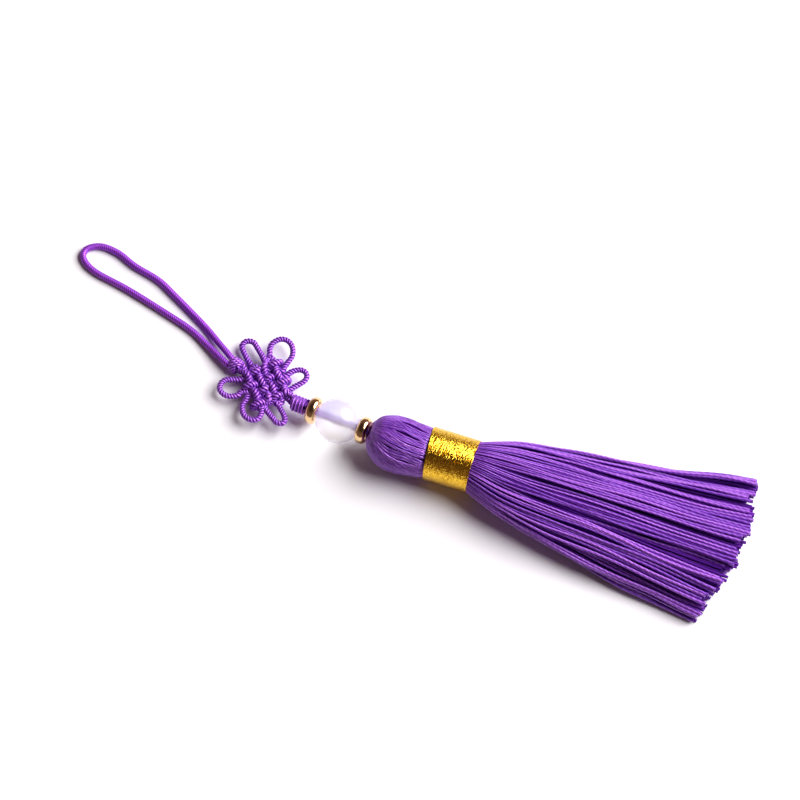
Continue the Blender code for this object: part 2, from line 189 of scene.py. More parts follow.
def end_tree(tree, shape, finish, made, smooth=True):
    """The end of a tree: the shape is shaded, made real and given its finish."""
    shaded = put(tree, "GeometryNodeSetShadeSmooth", {"Geometry": shape, "Shade Smooth": smooth})
    real = put(tree, "GeometryNodeRealizeInstances", {"Geometry": shaded.outputs[0]})
    coated = put(tree, "GeometryNodeSetMaterial", {"Geometry": real.outputs[0], "Material": finish})
    tree.links.new(coated.outputs[0], made["Geometry"])


def reckon(tree, operation, *values):
    """One step of arithmetic on numbers or other nodes' outputs."""
    return put(tree, "ShaderNodeMath", dict(enumerate(values)), operation=operation).outputs[0]


def grown(name, source, tree, **sizes):
    """What the tree grows on the source, as a plain mesh of its own at the origin."""
    modifier = source.modifiers.new("Grow", "NODES")
    modifier.node_group = tree
    for socket in tree.interface.items_tree:
        if socket.in_out == "INPUT" and socket.name in sizes:
            modifier[socket.identifier] = sizes[socket.name]
    graph = bpy.context.evaluated_depsgraph_get()
    mesh = bpy.data.meshes.new_from_object(source.evaluated_get(graph), preserve_all_data_layers=True,
                                           depsgraph=graph)
    bpy.data.objects.remove(source)
    mesh.name = name
    piece = bpy.data.objects.new(name, mesh)
    bpy.context.collection.objects.link(piece)
    return piece


def line_of(name, routes):
    """Lines through these routes, each a list of points with their share of the full thickness."""
    line = bpy.data.curves.new(name + "_line", "CURVE")
    line.dimensions = "3D"
    for route in routes:
        spline = line.splines.new("POLY")
        spline.points.add(len(route) - 1)
        for knot, (at, share) in zip(spline.points, route):
            knot.co, knot.radius = (*at, 1.0), share
    source = bpy.data.objects.new(name + "_line", line)
    bpy.context.collection.objects.link(source)
    return source


# Laid yarn: along each line go a number of strands side by side, turning round the middle.
yarn, given, made = growing_tree("laid_yarn", {
    "Thickness": "Float", "Step": "Float", "Sides": "Int", "Strands": "Int", "Groove": "Float",
    "One turn": "Float", "Seed": "Int", "Finish": "Material"})
smooth = put(yarn, "GeometryNodeCurveSplineType", {"Curve": given["Geometry"]}, spline_type="CATMULL_ROM")
steps = put(yarn, "GeometryNodeResampleCurve", {"Curve": smooth.outputs[0], "Length": given["Step"]},
            mode="LENGTH")
chance = put(yarn, "FunctionNodeRandomValue", {"ID": put(yarn, "GeometryNodeInputIndex").outputs[0],
             "Seed": given["Seed"]}, data_type="FLOAT")
by_line = put(yarn, "GeometryNodeFieldOnDomain", {0: chance.outputs[1]}, domain="CURVE", data_type="FLOAT")
shaded = put(yarn, "GeometryNodeStoreNamedAttribute", {"Geometry": steps.outputs[0], "Name": "shade",
             "Value": by_line.outputs[0]}, data_type="FLOAT", domain="POINT")
run = put(yarn, "GeometryNodeSplineParameter").outputs["Length"]
own_pace = reckon(yarn, "ADD", 0.8, reckon(yarn, "MULTIPLY", by_line.outputs[0], 0.4))
turned_by = reckon(yarn, "ADD", reckon(yarn, "MULTIPLY", own_pace, reckon(
    yarn, "DIVIDE", run, given["One turn"])), by_line.outputs[0])
laid = put(yarn, "GeometryNodeSetCurveTilt", {"Curve": shaded.outputs[0],
           "Tilt": reckon(yarn, "MULTIPLY", turned_by, 2 * math.pi)})
ring = put(yarn, "GeometryNodeCurvePrimitiveCircle", {"Resolution": given["Sides"], "Radius": 1.0})
place = put(yarn, "GeometryNodeInputPosition").outputs[0]
apart = put(yarn, "ShaderNodeSeparateXYZ", {0: place}).outputs
bearing = reckon(yarn, "ARCTAN2", apart[1], apart[0])
lobes = reckon(yarn, "MULTIPLY", reckon(yarn, "MULTIPLY", bearing, given["Strands"]), 0.5)
crown = reckon(yarn, "ABSOLUTE", reckon(yarn, "COSINE", lobes))
kept = put(yarn, "GeometryNodeStoreNamedAttribute", {"Geometry": ring.outputs[0], "Name": "crown",
           "Value": crown}, data_type="FLOAT", domain="POINT")
crown_kept = put(yarn, "GeometryNodeInputNamedAttribute", {"Name": "crown"}, data_type="FLOAT").outputs[0]
hollow = reckon(yarn, "SUBTRACT", 1.0, crown_kept)
sunk = reckon(yarn, "SUBTRACT", 1.0, reckon(yarn, "MULTIPLY", hollow, given["Groove"]))
wide = put(yarn, "ShaderNodeVectorMath", {0: place, "Scale": reckon(yarn, "MULTIPLY", sunk,
           reckon(yarn, "MULTIPLY", given["Thickness"], 0.5))}, operation="SCALE")
lobed = put(yarn, "GeometryNodeSetPosition", {"Geometry": kept.outputs[0], "Position": wide.outputs[0]})
swept = put(yarn, "GeometryNodeCurveToMesh", {"Curve": laid.outputs[0], "Profile Curve": lobed.outputs[0],
            "Scale": put(yarn, "GeometryNodeInputRadius").outputs[0], "Fill Caps": True})
end_tree(yarn, swept.outputs[0], given["Finish"], made)


def lay_yarn(name, routes, thick, step, sides, strands, groove, turn, seed, finish):
    """Laid yarn along these routes as one piece; its thickness, its step and one turn are in mm."""
    return grown(name, line_of(name, routes), yarn,
                 **{"Thickness": thick * MM, "Step": step * MM, "Sides": sides, "Strands": strands,
                    "Groove": groove, "One turn": turn * MM, "Seed": seed, "Finish": finish})


# Spun silk: painted shade between the strands and painted highlights on their crests; some lines are paler
# than others, and fine fibres lie over all.
spun = bpy.data.node_groups.new("spun_silk", "ShaderNodeTree")
for label in ("Groove", "Body", "Pale"):
    spun.interface.new_socket(label, in_out="INPUT", socket_type="NodeSocketColor")
for label in ("Fibres per metre", "Groove share", "Crest share", "Paler"):
    spun.interface.new_socket(label, in_out="INPUT", socket_type="NodeSocketFloat")
spun.interface.new_socket("Colour", in_out="OUTPUT", socket_type="NodeSocketColor")
for label in ("Roughness", "Height"):
    spun.interface.new_socket(label, in_out="OUTPUT", socket_type="NodeSocketFloat")
given, made = put(spun, "NodeGroupInput").outputs, put(spun, "NodeGroupOutput").inputs
own_place = on_piece(spun)
crown = put(spun, "ShaderNodeAttribute", attribute_name="crown").outputs["Fac"]
shade = put(spun, "ShaderNodeAttribute", attribute_name="shade").outputs["Fac"]
fibres = noise(spun, own_place, given["Fibres per metre"], 3.0)
patches = noise(spun, own_place, 160.0)
# Painted shade in the grooves between the strands, and a painted highlight on their crests.
groove_shade_fade = ranged(spun, crown, 0.0, given["Groove share"])
crest = ranged(spun, crown, 0.6, 1.0)
nature = reckon(spun, "ADD", shade, reckon(spun, "MULTIPLY", patches, 0.4))
raised = reckon(spun, "ADD", reckon(spun, "MULTIPLY", crest, given["Crest share"]),
                reckon(spun, "SUBTRACT", 1.0, given["Crest share"]))
tone_and_painted_highlight = reckon(spun, "MULTIPLY", reckon(spun, "MULTIPLY", raised, given["Paler"]), reckon(
    spun, "ADD", nature, reckon(spun, "MULTIPLY", fibres, 0.5)))
toned = mixed(spun, tone_and_painted_highlight, given["Body"], given["Pale"], clamp_factor=True)
spun.links.new(mixed(spun, groove_shade_fade, given["Groove"], toned), made["Colour"])
spun.links.new(ranged(spun, fibres, 0.3, 0.7, 0.28, 0.5), made["Roughness"])
spun.links.new(fibres, made["Height"])


def silk(name, groove, body, pale, fibres, groove_share, crest_share, paler, gloss, sheen, bump, glaze=0.0):
    """A silk finish: the spun look above, with a soft sheen along its edges and a glaze if it is dressed."""
    made, nodes, shader = bare_finish(name)
    look = put(nodes, "ShaderNodeGroup", {}, node_tree=spun)
    for label, value in (("Groove", (*groove, 1)), ("Body", (*body, 1)), ("Pale", (*pale, 1)),
                         ("Fibres per metre", fibres), ("Groove share", groove_share),
                         ("Crest share", crest_share), ("Paler", paler)):
        look.inputs[label].default_value = value
    raised = put(nodes, "ShaderNodeBump", {"Strength": 0.6, "Distance": bump, "Height": look.outputs["Height"]})
    nodes.links.new(look.outputs["Colour"], shader.inputs["Base Color"])
    nodes.links.new(look.outputs["Roughness"], shader.inputs["Roughness"])
    nodes.links.new(raised.outputs[0], shader.inputs["Normal"])
    shader.inputs["Specular IOR Level"].default_value = gloss
    shader.inputs["Specular Tint"].default_value = (0.78, 0.6, 0.92, 1.0)
    shader.inputs["Sheen Weight"].default_value = sheen
    shader.inputs["Sheen Roughness"].default_value = 0.4
    shader.inputs["Sheen Tint"].default_value = (0.6, 0.3, 1.0, 1.0)
    shader.inputs["Metallic"].default_value = 0.35
    shader.inputs["Coat Weight"].default_value = glaze
    shader.inputs["Coat Roughness"].default_value = 0.28
    return made


# In these finishes the first colour is painted groove shade, and the last is the pale taken by painted crest
# highlights and paler lines.
violet_cord = silk("violet_cord", CORD_GROOVE_SHADE, CORD_VIOLET, CORD_PALE, fibres=5200.0, groove_share=1.0,
                   crest_share=0.65, paler=1.15, gloss=0.7, sheen=0.03, bump=0.00006)
loop_cord = silk("loop_cord", (0.07, 0.002, 0.18), (0.16, 0.005, 0.41), (0.49, 0.13, 0.80), fibres=2600.0,
                 groove_share=0.8, crest_share=0.5, paler=0.9, gloss=0.7, sheen=0.0, bump=0.00012)

loop_route = []
for at in smooth_route([(x, y, 0.0) for x, y in LOOP_ROUTE], 96):
    up = LOOP_LOW + (LOOP_KNOT_HIGH - LOOP_LOW) * math.exp(-((abs(at.x - LOOP_ROUTE[1][0]) / 4.5) ** 2))
    loop_route.append(from_head(at.x, at.y, 0) - Vector((0, 0, HEAD_AT.z - up * MM)))
hanging_loop = lay_yarn("hanging_loop", [[(at, 1.0) for at in loop_route]], thick=LOOP_THICK, step=0.1, sides=18,
                        strands=4, groove=0.06, turn=2.3, seed=3, finish=loop_cord)
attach(hanging_loop, "root")
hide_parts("hanging_loop")

# Loop knot -----------------------------------------------------------------------
# Both legs of the loop are tied together where they meet the woven knot. Each leg is
# wrapped once round the two of them, and the wraps are drawn up tight.

LOOP_KNOT_AT, LOOP_KNOT_TURN, LOOP_KNOT_LONG = Vector((-39.45, 7.75, -4.15)), math.radians(158.0), 2.7
LOOP_KNOT_WRAPS, WRAP_THICK, WRAP_WIDE = 2.2, 1.26, 1.18
CORD_STRANDS, CORD_TURN, CORD_FURROW = 3, 1.7, 0.24  # its strands go once round in CORD_TURN


def coil(middle, heading, long, radius, turns, start=0.0, squash=1.0, per_turn=14):
    """A coil of cord in mm round a line through its middle, flattened by squash towards the table."""
    heading = heading.normalized()
    side = Vector((0, 0, 1)).cross(heading).normalized()
    rise = heading.cross(side)
    route = []
    for i in range(round(turns * per_turn) + 1):
        turn = start + 2 * math.pi * i / per_turn
        out = radius * (math.cos(turn) * side + squash * math.sin(turn) * rise)
        route.append((middle + heading * (long * (i / (turns * per_turn) - 0.5)) + out, 1.0))
    return route


heading = Vector((math.cos(LOOP_KNOT_TURN), math.sin(LOOP_KNOT_TURN), -0.12))
wraps = coil(LOOP_KNOT_AT, heading, LOOP_KNOT_LONG - WRAP_THICK, WRAP_WIDE, LOOP_KNOT_WRAPS, 1.2)
legs = [[(LOOP_KNOT_AT + heading * t + Vector((-0.35, 0.94, 0)) * s, 1.0) for t in (-1.7, -0.6, 0.6, 1.6)]
        for s in (0.52, -0.52)]
loop_knot = lay_yarn("loop_knot", [[(from_head(*at), share) for at, share in route] for route in [wraps, *legs]],
                     thick=WRAP_THICK, step=0.1, sides=18, strands=CORD_STRANDS, groove=CORD_FURROW,
                     turn=CORD_TURN, seed=5, finish=violet_cord)
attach(loop_knot, "root")
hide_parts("loop_knot")

# Woven knot ----------------------------------------------------------------------
# One cord is laid in eight lines down and eight across, in pairs that go over and under
# each other, and is then drawn up. Where it turns back outside the weave it leaves six ears.

KNOT_X, KNOT_Y, KNOT_Z, KNOT_TURN, KNOT_FALL = -32.3, 5.78, -3.5, math.radians(163.5), 0.085
LOOP_CORNER, UPPER_CORNER = Vector((5.3, -0.95)), Vector((1.25, 5.6))
STRING_CORNER, LOWER_CORNER = Vector((-6.6, 0.45)), Vector((-2.55, -6.05))
KNOT_CORD, EAR_SHARE = 1.5, 0.87  # thickness, and how much of it is left in the ears, where it is drawn tight
WEAVE_EDGE = (5.2, 7.0)  # from the knot's middle, where the full thickness ends and the ears' begins
ABREAST, STACKED = 0.36, 0.70  # how far each line of a pair lies from the middle, in thicknesses
STACK_LEAN = 0.1  # how far a stacked line stays off the middle, in mm
FRONT_LINES = (1, 4, 5, 8)  # down and across, the lines that pass in front in their own crossings
EARS = {  # (u, w) along each ear, from the line that it leaves to the line that it joins
    "A": ((4.85, 1.75), (6.6, 2.75), (8.3, 3.7), (9.1, 4.5), (9.0, 5.6), (8.3, 6.2), (7.3, 6.4), (5.9, 5.75),
          (4.6, 5.1), (3.1, 4.3), (2.3, 3.75)),
    "B": ((2.5, 4.75), (3.0, 6.1), (3.7, 7.3), (3.9, 8.4), (3.5, 9.5), (2.8, 10.3), (1.7, 10.7), (0.5, 10.5),
          (-0.6, 9.7), (-1.4, 8.4), (-1.5, 6.9), (-1.45, 5.5), (-1.6, 4.4)),
    "C": ((-2.9, 3.75), (-3.3, 5.0), (-4.0, 6.0), (-5.0, 6.7), (-6.1, 6.7), (-6.9, 6.0), (-7.0, 4.9),
          (-6.5, 3.7), (-5.9, 2.5), (-5.5, 1.5)),
    "D": ((-2.5, -3.9), (-3.4, -4.9), (-4.9, -5.5), (-6.1, -5.9), (-7.5, -6.3), (-8.7, -5.9), (-8.8, -5.0),
          (-8.0, -4.1), (-6.6, -3.3), (-5.5, -2.4)),
    "E": ((1.2, -4.05), (1.0, -5.5), (0.9, -6.9), (0.3, -7.9), (-0.6, -8.7), (-1.9, -9.0), (-3.1, -8.6),
          (-3.8, -7.7), (-3.6, -6.4), (-2.9, -5.1), (-2.0, -4.2)),
    "F": ((4.3, -1.7), (4.9, -2.4), (6.1, -3.2), (7.2, -4.0), (7.7, -5.2), (7.3, -6.4), (6.5, -7.0),
          (5.2, -7.1), (4.1, -6.6), (3.1, -5.6), (2.7, -4.4)),
}
ACROSS = (UPPER_CORNER - LOOP_CORNER).normalized()
DOWN = (LOWER_CORNER - LOOP_CORNER).normalized()


def knot_point(u, w, up=0.0):
    """A point of the knot's own plane: u towards the loop, w to the upper side."""
    along = KNOT_X + u * math.cos(KNOT_TURN) + w * math.sin(KNOT_TURN)
    across = KNOT_Y + u * math.sin(KNOT_TURN) - w * math.cos(KNOT_TURN)
    return from_head(along, across, KNOT_Z - KNOT_FALL * u + up)


def crossing(column, row):
    """Where a pair of lines down meets a pair of lines across."""
    s, t = (column + 0.5) / 4, (row + 0.5) / 4
    return LOOP_CORNER.lerp(UPPER_CORNER, s) + (LOWER_CORNER - LOOP_CORNER) * t * (1 - s) + (
        STRING_CORNER - UPPER_CORNER) * t * s


def weave_line(number, down, backwards):
    """One line of the weave, down or across it: (u, w, up) at each crossing."""
    pair, side, beside = (number - 1) // 2, 1 if number % 2 == 0 else -1, ACROSS if down else DOWN
    points = []
    for place in range(4):
        column, row = (pair, place) if down else (place, pair)
        if (column + row) % 2 == down:
            at, up = crossing(column, row) + beside * side * KNOT_CORD * ABREAST, 0.0
        else:
            at = crossing(column, row) + beside * side * STACK_LEAN
            up = KNOT_CORD * (STACKED if number in FRONT_LINES else -STACKED)
        points.append((at.x, at.y, up))
    return points[::-1] if backwards else points


def line_down(number, backwards=False):
    return weave_line(number, True, backwards)


def line_across(number, backwards=False):
    return weave_line(number, False, backwards)


def upright_turn(column, row, out, first):
    """Where a line across turns back round the pair it holds; first is 1 if it starts in front, or -1."""
    points = []
    for reach, up in ((0.8, 0.62), (1.1, 0.36), (1.2, 0.0), (1.1, -0.36), (0.8, -0.62)):
        spot = crossing(column, row) + out * reach * KNOT_CORD
        points.append((spot.x, spot.y, up * first * KNOT_CORD))
    return points


def flat_turn(column, row, out, reach=1.2):
    """Where a pair of lines down that lies side by side turns back in its own plane."""
    points = []
    for share, side in ((0.6, -0.42), (0.9, -0.34), (1.0, 0.0), (0.9, 0.34), (0.6, 0.42)):
        spot = crossing(column, row) + (out * reach * share + ACROSS * side) * KNOT_CORD
        points.append((spot.x, spot.y, 0.0))
    return points


def ear(name, lift=0.0, first=0.0, last=0.0):
    """An ear, lifted in its middle, with the heights at which it leaves and joins the weave."""
    points = []
    for number, (u, w) in enumerate(EARS[name]):
        share = number / (len(EARS[name]) - 1)
        points.append((u, w, lift * math.sin(math.pi * share) + first * (1 - share) ** 5 + last * share**5))
    return points


def ease(value, low, high):
    t = min(1.0, max(0.0, (value - low) / (high - low)))
    return t * t * (3 - 2 * t)


first_leg = [
    (7.0, -0.5, 0.0), (6.0, -0.75, 0.35), *line_down(1), *flat_turn(0, 3, DOWN, 0.8), *line_down(2, True),
    *ear("A", 0.2, -0.9, 0.5), *line_down(5), *flat_turn(2, 3, DOWN), *line_down(6, True),
    *ear("B", 0.35, -0.4, 0.0), *line_across(3, True), *upright_turn(0, 1, -ACROSS, -1), *line_across(4),
    *ear("C", 0.25), *line_across(7, True), *upright_turn(0, 3, -ACROSS, -1), *line_across(8),
    (-6.6, -0.45, 0.1), (-7.6, -0.8, 0.3), (-8.7, -0.95, 0.5),
]
second_leg = [
    (7.0, 0.5, 0.1), (6.0, 0.45, 0.3), *line_across(1), *upright_turn(3, 0, ACROSS, 1), *line_across(2, True),
    *ear("F", 0.2), *line_across(5), *upright_turn(3, 2, ACROSS, 1), *line_across(6, True), *ear("E", 0.25),
    *line_down(3, True), *flat_turn(1, 0, -DOWN, 0.9), *line_down(4), *ear("D", 0.15), *line_down(7, True),
    *flat_turn(3, 0, -DOWN, 1.3), *line_down(8), (-6.35, 0.5, 0.8), (-7.4, 0.25, 0.65), (-8.7, -0.05, 0.6),
]
knot_lines = [[(knot_point(*at), 1 - (1 - EAR_SHARE) * ease(math.hypot(at[0], at[1]), *WEAVE_EDGE)) for at in leg]
              for leg in (first_leg, second_leg)]
pan_chang_knot = lay_yarn("pan_chang_knot", knot_lines, thick=KNOT_CORD, step=0.1, sides=18, strands=CORD_STRANDS,
                          groove=CORD_FURROW, turn=CORD_TURN, seed=8, finish=violet_cord)
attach(pan_chang_knot, "root")
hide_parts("pan_chang_knot")

# Barrel knot ---------------------------------------------------------------------
# Below the woven knot a thinner cord of the same silk is wound four times round both
# cords. It draws them together and stops the first ring.

STRING_SIDE, STRING_DROP, STRING_Y, STRING_Z, HEAD_TOP = 0.132, 0.121, 0.57, -0.1, -6.75
BARREL_AT, BARREL_LONG, BARREL_RADIUS, BARREL_TURNS = -23.3, 3.8, 1.85, 4
BARREL_THREAD = 0.8


def on_string(along):
    """A point of the straight string between the knot and the head."""
    back = HEAD_TOP - along
    return Vector((along, STRING_Y + STRING_SIDE * back, STRING_Z - STRING_DROP * back))


string_heading = (on_string(0.0) - on_string(-1.0)).normalized()
winding = coil(on_string(BARREL_AT), string_heading, BARREL_LONG - BARREL_THREAD,
               BARREL_RADIUS - BARREL_THREAD / 2, BARREL_TURNS, 0.5, per_turn=18)
inside = coil(on_string(BARREL_AT), string_heading, BARREL_LONG - 1.0, BARREL_RADIUS - 0.95, BARREL_TURNS, 2.0)
barrel_knot = lay_yarn("barrel_knot", [[(from_head(*at), share) for at, share in route]
                                       for route in (winding, inside)],
                       thick=BARREL_THREAD, step=0.2, sides=16, strands=4, groove=0.12, turn=16.0, seed=9,
                       finish=violet_cord)
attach(barrel_knot, "root")
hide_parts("barrel_knot")

# String through the bead -----------------------------------------------------------
# The two cords go on side by side from the barrel knot, through both rings and the bead,
# and into the top of the tassel's head.

STRING_THICK, STRING_APART = 0.8, 0.40
string_lines = []
for side in (STRING_APART, -STRING_APART):
    route = [on_string(along) + Vector((0, side, 0)) for along in (-24.4, -20.0, -15.5, -11.0, HEAD_TOP - 0.3)]
    string_lines.append([(from_head(*at), 1.0) for at in route])
bead_cord = lay_yarn("bead_cord", string_lines, thick=STRING_THICK, step=0.25, sides=18, strands=6, groove=0.2,
                     turn=3.0, seed=2, finish=violet_cord)
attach(bead_cord, "root")
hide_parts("bead_cord")

# Spacer rings ----------------------------------------------------------------------
# Two small brass rings, cast with round edges, gold plated and polished. They are
# threaded on the string, one on each side of the bead.

RING_RADIUS, RING_HOLE, RING_THICK = 2.98, 1.1, 2.2
RING_POINTS, RING_SQUARE = 40, 2.4  # of its section, which would be an ellipse at 2
RINGS = {"spacer_ring_1": -20.0, "spacer_ring_2": -8.17}


def turned(name, profile, steps, place, finish):
    """A piece turned about its own Z: (radius, height) in mm from the top, down its outside and back."""
    points, rows, faces = [], [], []
    for radius, height in profile:
        around = steps if radius else 1  # a single point on the axis closes a pole
        rows.append([len(points) + i % around for i in range(steps)])
        for i in range(around):
            turn = 2 * math.pi * i / steps
            points.append((radius * math.cos(turn) * MM, radius * math.sin(turn) * MM, height * MM))
    for upper, lower in zip(rows, rows[1:] + rows[:1]):
        for i in range(steps):
            corners = dict.fromkeys((upper[i - 1], lower[i - 1], lower[i], upper[i]))
            if len(corners) > 2:
                faces.append(tuple(corners))
    mesh = bpy.data.meshes.new(name)
    mesh.from_pydata(points, [], faces)
    mesh.transform(place)
    mesh.shade_smooth()
    mesh.materials.append(finish)
    piece = bpy.data.objects.new(name, mesh)
    bpy.context.collection.objects.link(piece)
    return piece


def string_place(along):
    """Puts a turned piece on the string, its own Z along it."""
    turned_along = string_heading.to_track_quat("Z", "Y").to_matrix().to_4x4()
    return Matrix.Translation(from_head(*on_string(along))) @ turned_along


gold_plate, nodes, shader = bare_finish("gold_plate")
own_place = on_piece(nodes)
plated = mixed(nodes, noise(nodes, own_place, 700.0, 4.0), (0.93, 0.70, 0.41), (0.80, 0.55, 0.28))
nodes.links.new(plated, shader.inputs["Base Color"])
scuffs = noise(nodes, own_place, 2600.0, 3.0)
nodes.links.new(ranged(nodes, scuffs, 0.4, 0.75, 0.1, 0.24), shader.inputs["Roughness"])
scuffed = put(nodes, "ShaderNodeBump", {"Strength": 0.12, "Distance": 0.00004, "Height": scuffs})
nodes.links.new(scuffed.outputs[0], shader.inputs["Normal"])
shader.inputs["Metallic"].default_value = 1.0

ring_profile = []
for i in range(RING_POINTS):
    turn = math.pi / 2 - 2 * math.pi * i / RING_POINTS
    bulge = 1.0 / (abs(math.cos(turn)) ** RING_SQUARE + abs(math.sin(turn)) ** RING_SQUARE) ** (1 / RING_SQUARE)
    ring_profile.append(((RING_RADIUS + RING_HOLE) / 2 + (RING_RADIUS - RING_HOLE) / 2 * bulge * math.cos(turn),
                         RING_THICK / 2 * bulge * math.sin(turn)))
for name, along in RINGS.items():
    ring = turned(name + "_plated", ring_profile, 96, string_place(along), gold_plate)
    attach(ring, "root")
    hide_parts(name)

# Bead ------------------------------------------------------------------------------
# A round 10 mm bead of milky glass, drilled through and polished. The string shows in it
# as a pale violet band, and its rim is painted a little more violet than its middle.

BEAD_AT, BEAD_RADIUS, BEAD_BORE = -14.2, 5.0, 1.1
BORE_BEVEL, BORE_SUNK = 0.1, 0.14  # how much wider the bore's mouth is, and how deep that goes
BEAD_STEPS = 72

bead_glass, nodes, shader = bare_finish("bead_glass")
own_place = on_piece(nodes)
centred = put(nodes, "ShaderNodeMapping", {"Vector": own_place, "Location": -from_head(*on_string(BEAD_AT)) * 100,
              "Scale": (100, 100, 100)})
height = put(nodes, "ShaderNodeSeparateXYZ", {0: centred.outputs[0]}).outputs[1]
# Painted light: the milky glass is tinted cream towards its front and lavender towards its back, as the light
# round about falls on it.
milk_and_painted_light = mixed(nodes, ranged(nodes, height, -0.3, -0.02), (0.66, 0.65, 0.51), (0.61, 0.60, 0.74))
clouds = reckon(nodes, "MULTIPLY", noise(nodes, own_place, 260.0), 0.25)
cloudy = mixed(nodes, clouds, milk_and_painted_light, (0.71, 0.69, 0.74))
# Painted shading: seen edge-on, towards its rim, the glass is tinted a deeper violet.
rim = reckon(nodes, "POWER", put(nodes, "ShaderNodeLayerWeight", {"Blend": 0.4}).outputs["Facing"], 2.0)
nodes.links.new(mixed(nodes, rim, cloudy, (0.64, 0.60, 0.82)), shader.inputs["Base Color"])
shader.inputs["Roughness"].default_value = 0.05
shader.inputs["IOR"].default_value = 1.08
shader.inputs["Transmission Weight"].default_value = 0.7
shader.inputs["Subsurface Weight"].default_value = 1.0
shader.inputs["Subsurface Radius"].default_value = (1.0, 1.0, 1.0)
shader.inputs["Subsurface Scale"].default_value = 0.006
shader.inputs["Coat Weight"].default_value = 1.0
shader.inputs["Coat Roughness"].default_value = 0.03
# Painted glow: a faint emission stands in for light scattered through the milky glass.
shader.inputs["Emission Color"].default_value = (0.93, 0.88, 0.98, 1.0)
shader.inputs["Emission Strength"].default_value = 0.06

tilt = math.asin((BEAD_BORE + BORE_BEVEL) / BEAD_RADIUS)
bead_turns = [tilt + (math.pi - 2 * tilt) * i / BEAD_STEPS for i in range(BEAD_STEPS + 1)]
bead_profile = [(BEAD_RADIUS * math.sin(turn), BEAD_RADIUS * math.cos(turn)) for turn in bead_turns]
bore_end = bead_profile[0][1] - BORE_SUNK
bead_profile += [(BEAD_BORE, -bore_end), (BEAD_BORE, bore_end)]
bead = turned("bead_polished", bead_profile, 128, string_place(BEAD_AT), bead_glass)
bead.visible_shadow = False  # milky glass lets most of the light through to the table
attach(bead, "root")
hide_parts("bead")

# Head of the tassel ------------------------------------------------------------------
# Two-ply silk threads come out of the string's hole, go over a ball of wadding and are
# gathered in at the neck. They lie close, a little askew, and cross here and there.

# Thread colours: painted shade for the groove between the plies, the thread's violet, and the pale taken by
# painted crest highlights and paler lines.
THREAD_GROOVE_SHADE, THREAD_VIOLET, THREAD_PALE = (0.06, 0.002, 0.21), (0.10, 0.003, 0.36), (0.50, 0.18, 0.78)
THREAD_THICK, HEAD_THREAD_THICK = 0.68, 0.42
HEAD_FROM, HEAD_LONG, HOLE_RISE = -7.0, 15.2, math.radians(20)
HEAD_PROFILE = (  # along, radius
    (-6.0, 0.9), (-6.7, 1.3), (-6.95, 1.9), (-6.7, 2.6), (-6.3, 3.2), (-5.7, 4.1), (-4.9, 4.8), (-2.95, 5.78),
    (-1.2, 6.2), (1.2, 6.24), (3.0, 6.0), (5.2, 5.76), (6.2, 5.6), (6.9, 5.28), (8.2, 5.1),
)
violet_thread = silk("violet_thread", THREAD_GROOVE_SHADE, THREAD_VIOLET, THREAD_PALE, fibres=7000.0, groove_share=0.3,
                     crest_share=0.4, paler=0.85, gloss=1.0, sheen=0.03, bump=0.00005, glaze=1.0)
# Painted shade: a darker copy of the thread for the lower layers under the head and in the skirt, where the upper
# threads shade them.
shadowed_thread = silk("shadowed_thread", (0.03, 0.002, 0.09), (0.07, 0.005, 0.21), (0.26, 0.07, 0.50),
                       fibres=7000.0, groove_share=0.4, crest_share=0.6, paler=0.7, gloss=0.3, sheen=0.0,
                       bump=0.00005)


def head_threads(count, inset, seed):
    """Threads over the head: they go round the ball in small bunches, each a little askew."""
    random.seed(seed)
    routes, left = [], 0
    for number in range(count):
        if not left:
            left, bunch_high = random.randint(2, 5), random.uniform(-0.2, 0.12)
            askew, sway, phase = random.gauss(0.24, 0.03), random.uniform(0.015, 0.06), random.uniform(0, 6.3)
        left -= 1
        start = 2 * math.pi * (number + random.uniform(-0.3, 0.3)) / count
        lift = bunch_high + random.uniform(-0.08, 0.06)
        route = []
        for along, radius in HEAD_PROFILE:
            run = (along - HEAD_FROM) / HEAD_LONG
            turn = start + askew * run + sway * math.sin(phase + 9 * run)
            lifted = lift * min(1.0, radius / 5) * math.sin(math.pi * min(run * 1.1, 1))
            out = radius - THREAD_THICK * 0.42 - inset + lifted
            low = THREAD_THICK * 0.4 - HEAD_AT.z / MM
            share = 0.5 + 0.5 * min(1.0, radius / 5.4)
            rise = HOLE_RISE * (1 - ease(along, HEAD_FROM, 1.0))  # the hole sits a little above the middle
            high = out * math.sin(turn)
            route.append((from_head(along * math.cos(rise) + high * math.sin(rise), out * math.cos(turn),
                                    max(high * math.cos(rise) - along * math.sin(rise), low)), share))
        routes.append(route)
    return routes


def thread_piece(name, routes, sides, step, seed, groove=0.26, thick=0.62, finish=violet_thread, turn=4.8):
    """Two-ply thread along these routes, as one piece of the tassel."""
    piece = lay_yarn(name, routes, thick=thick, step=step, sides=sides, strands=2, groove=groove, turn=turn,
                     seed=seed, finish=finish)
    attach(piece, "root")
    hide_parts("tassel")


thread_piece("head_threads", head_threads(102, inset=0.0, seed=21), sides=8, step=0.34, seed=21, groove=0.2,
             thick=HEAD_THREAD_THICK)
# The lower layer under the head takes the painted-shade copy of the thread.
thread_piece("head_threads_below", head_threads(90, inset=0.4, seed=22), sides=6, step=0.5, seed=22, groove=0.2,
             thick=HEAD_THREAD_THICK, finish=shadowed_thread)

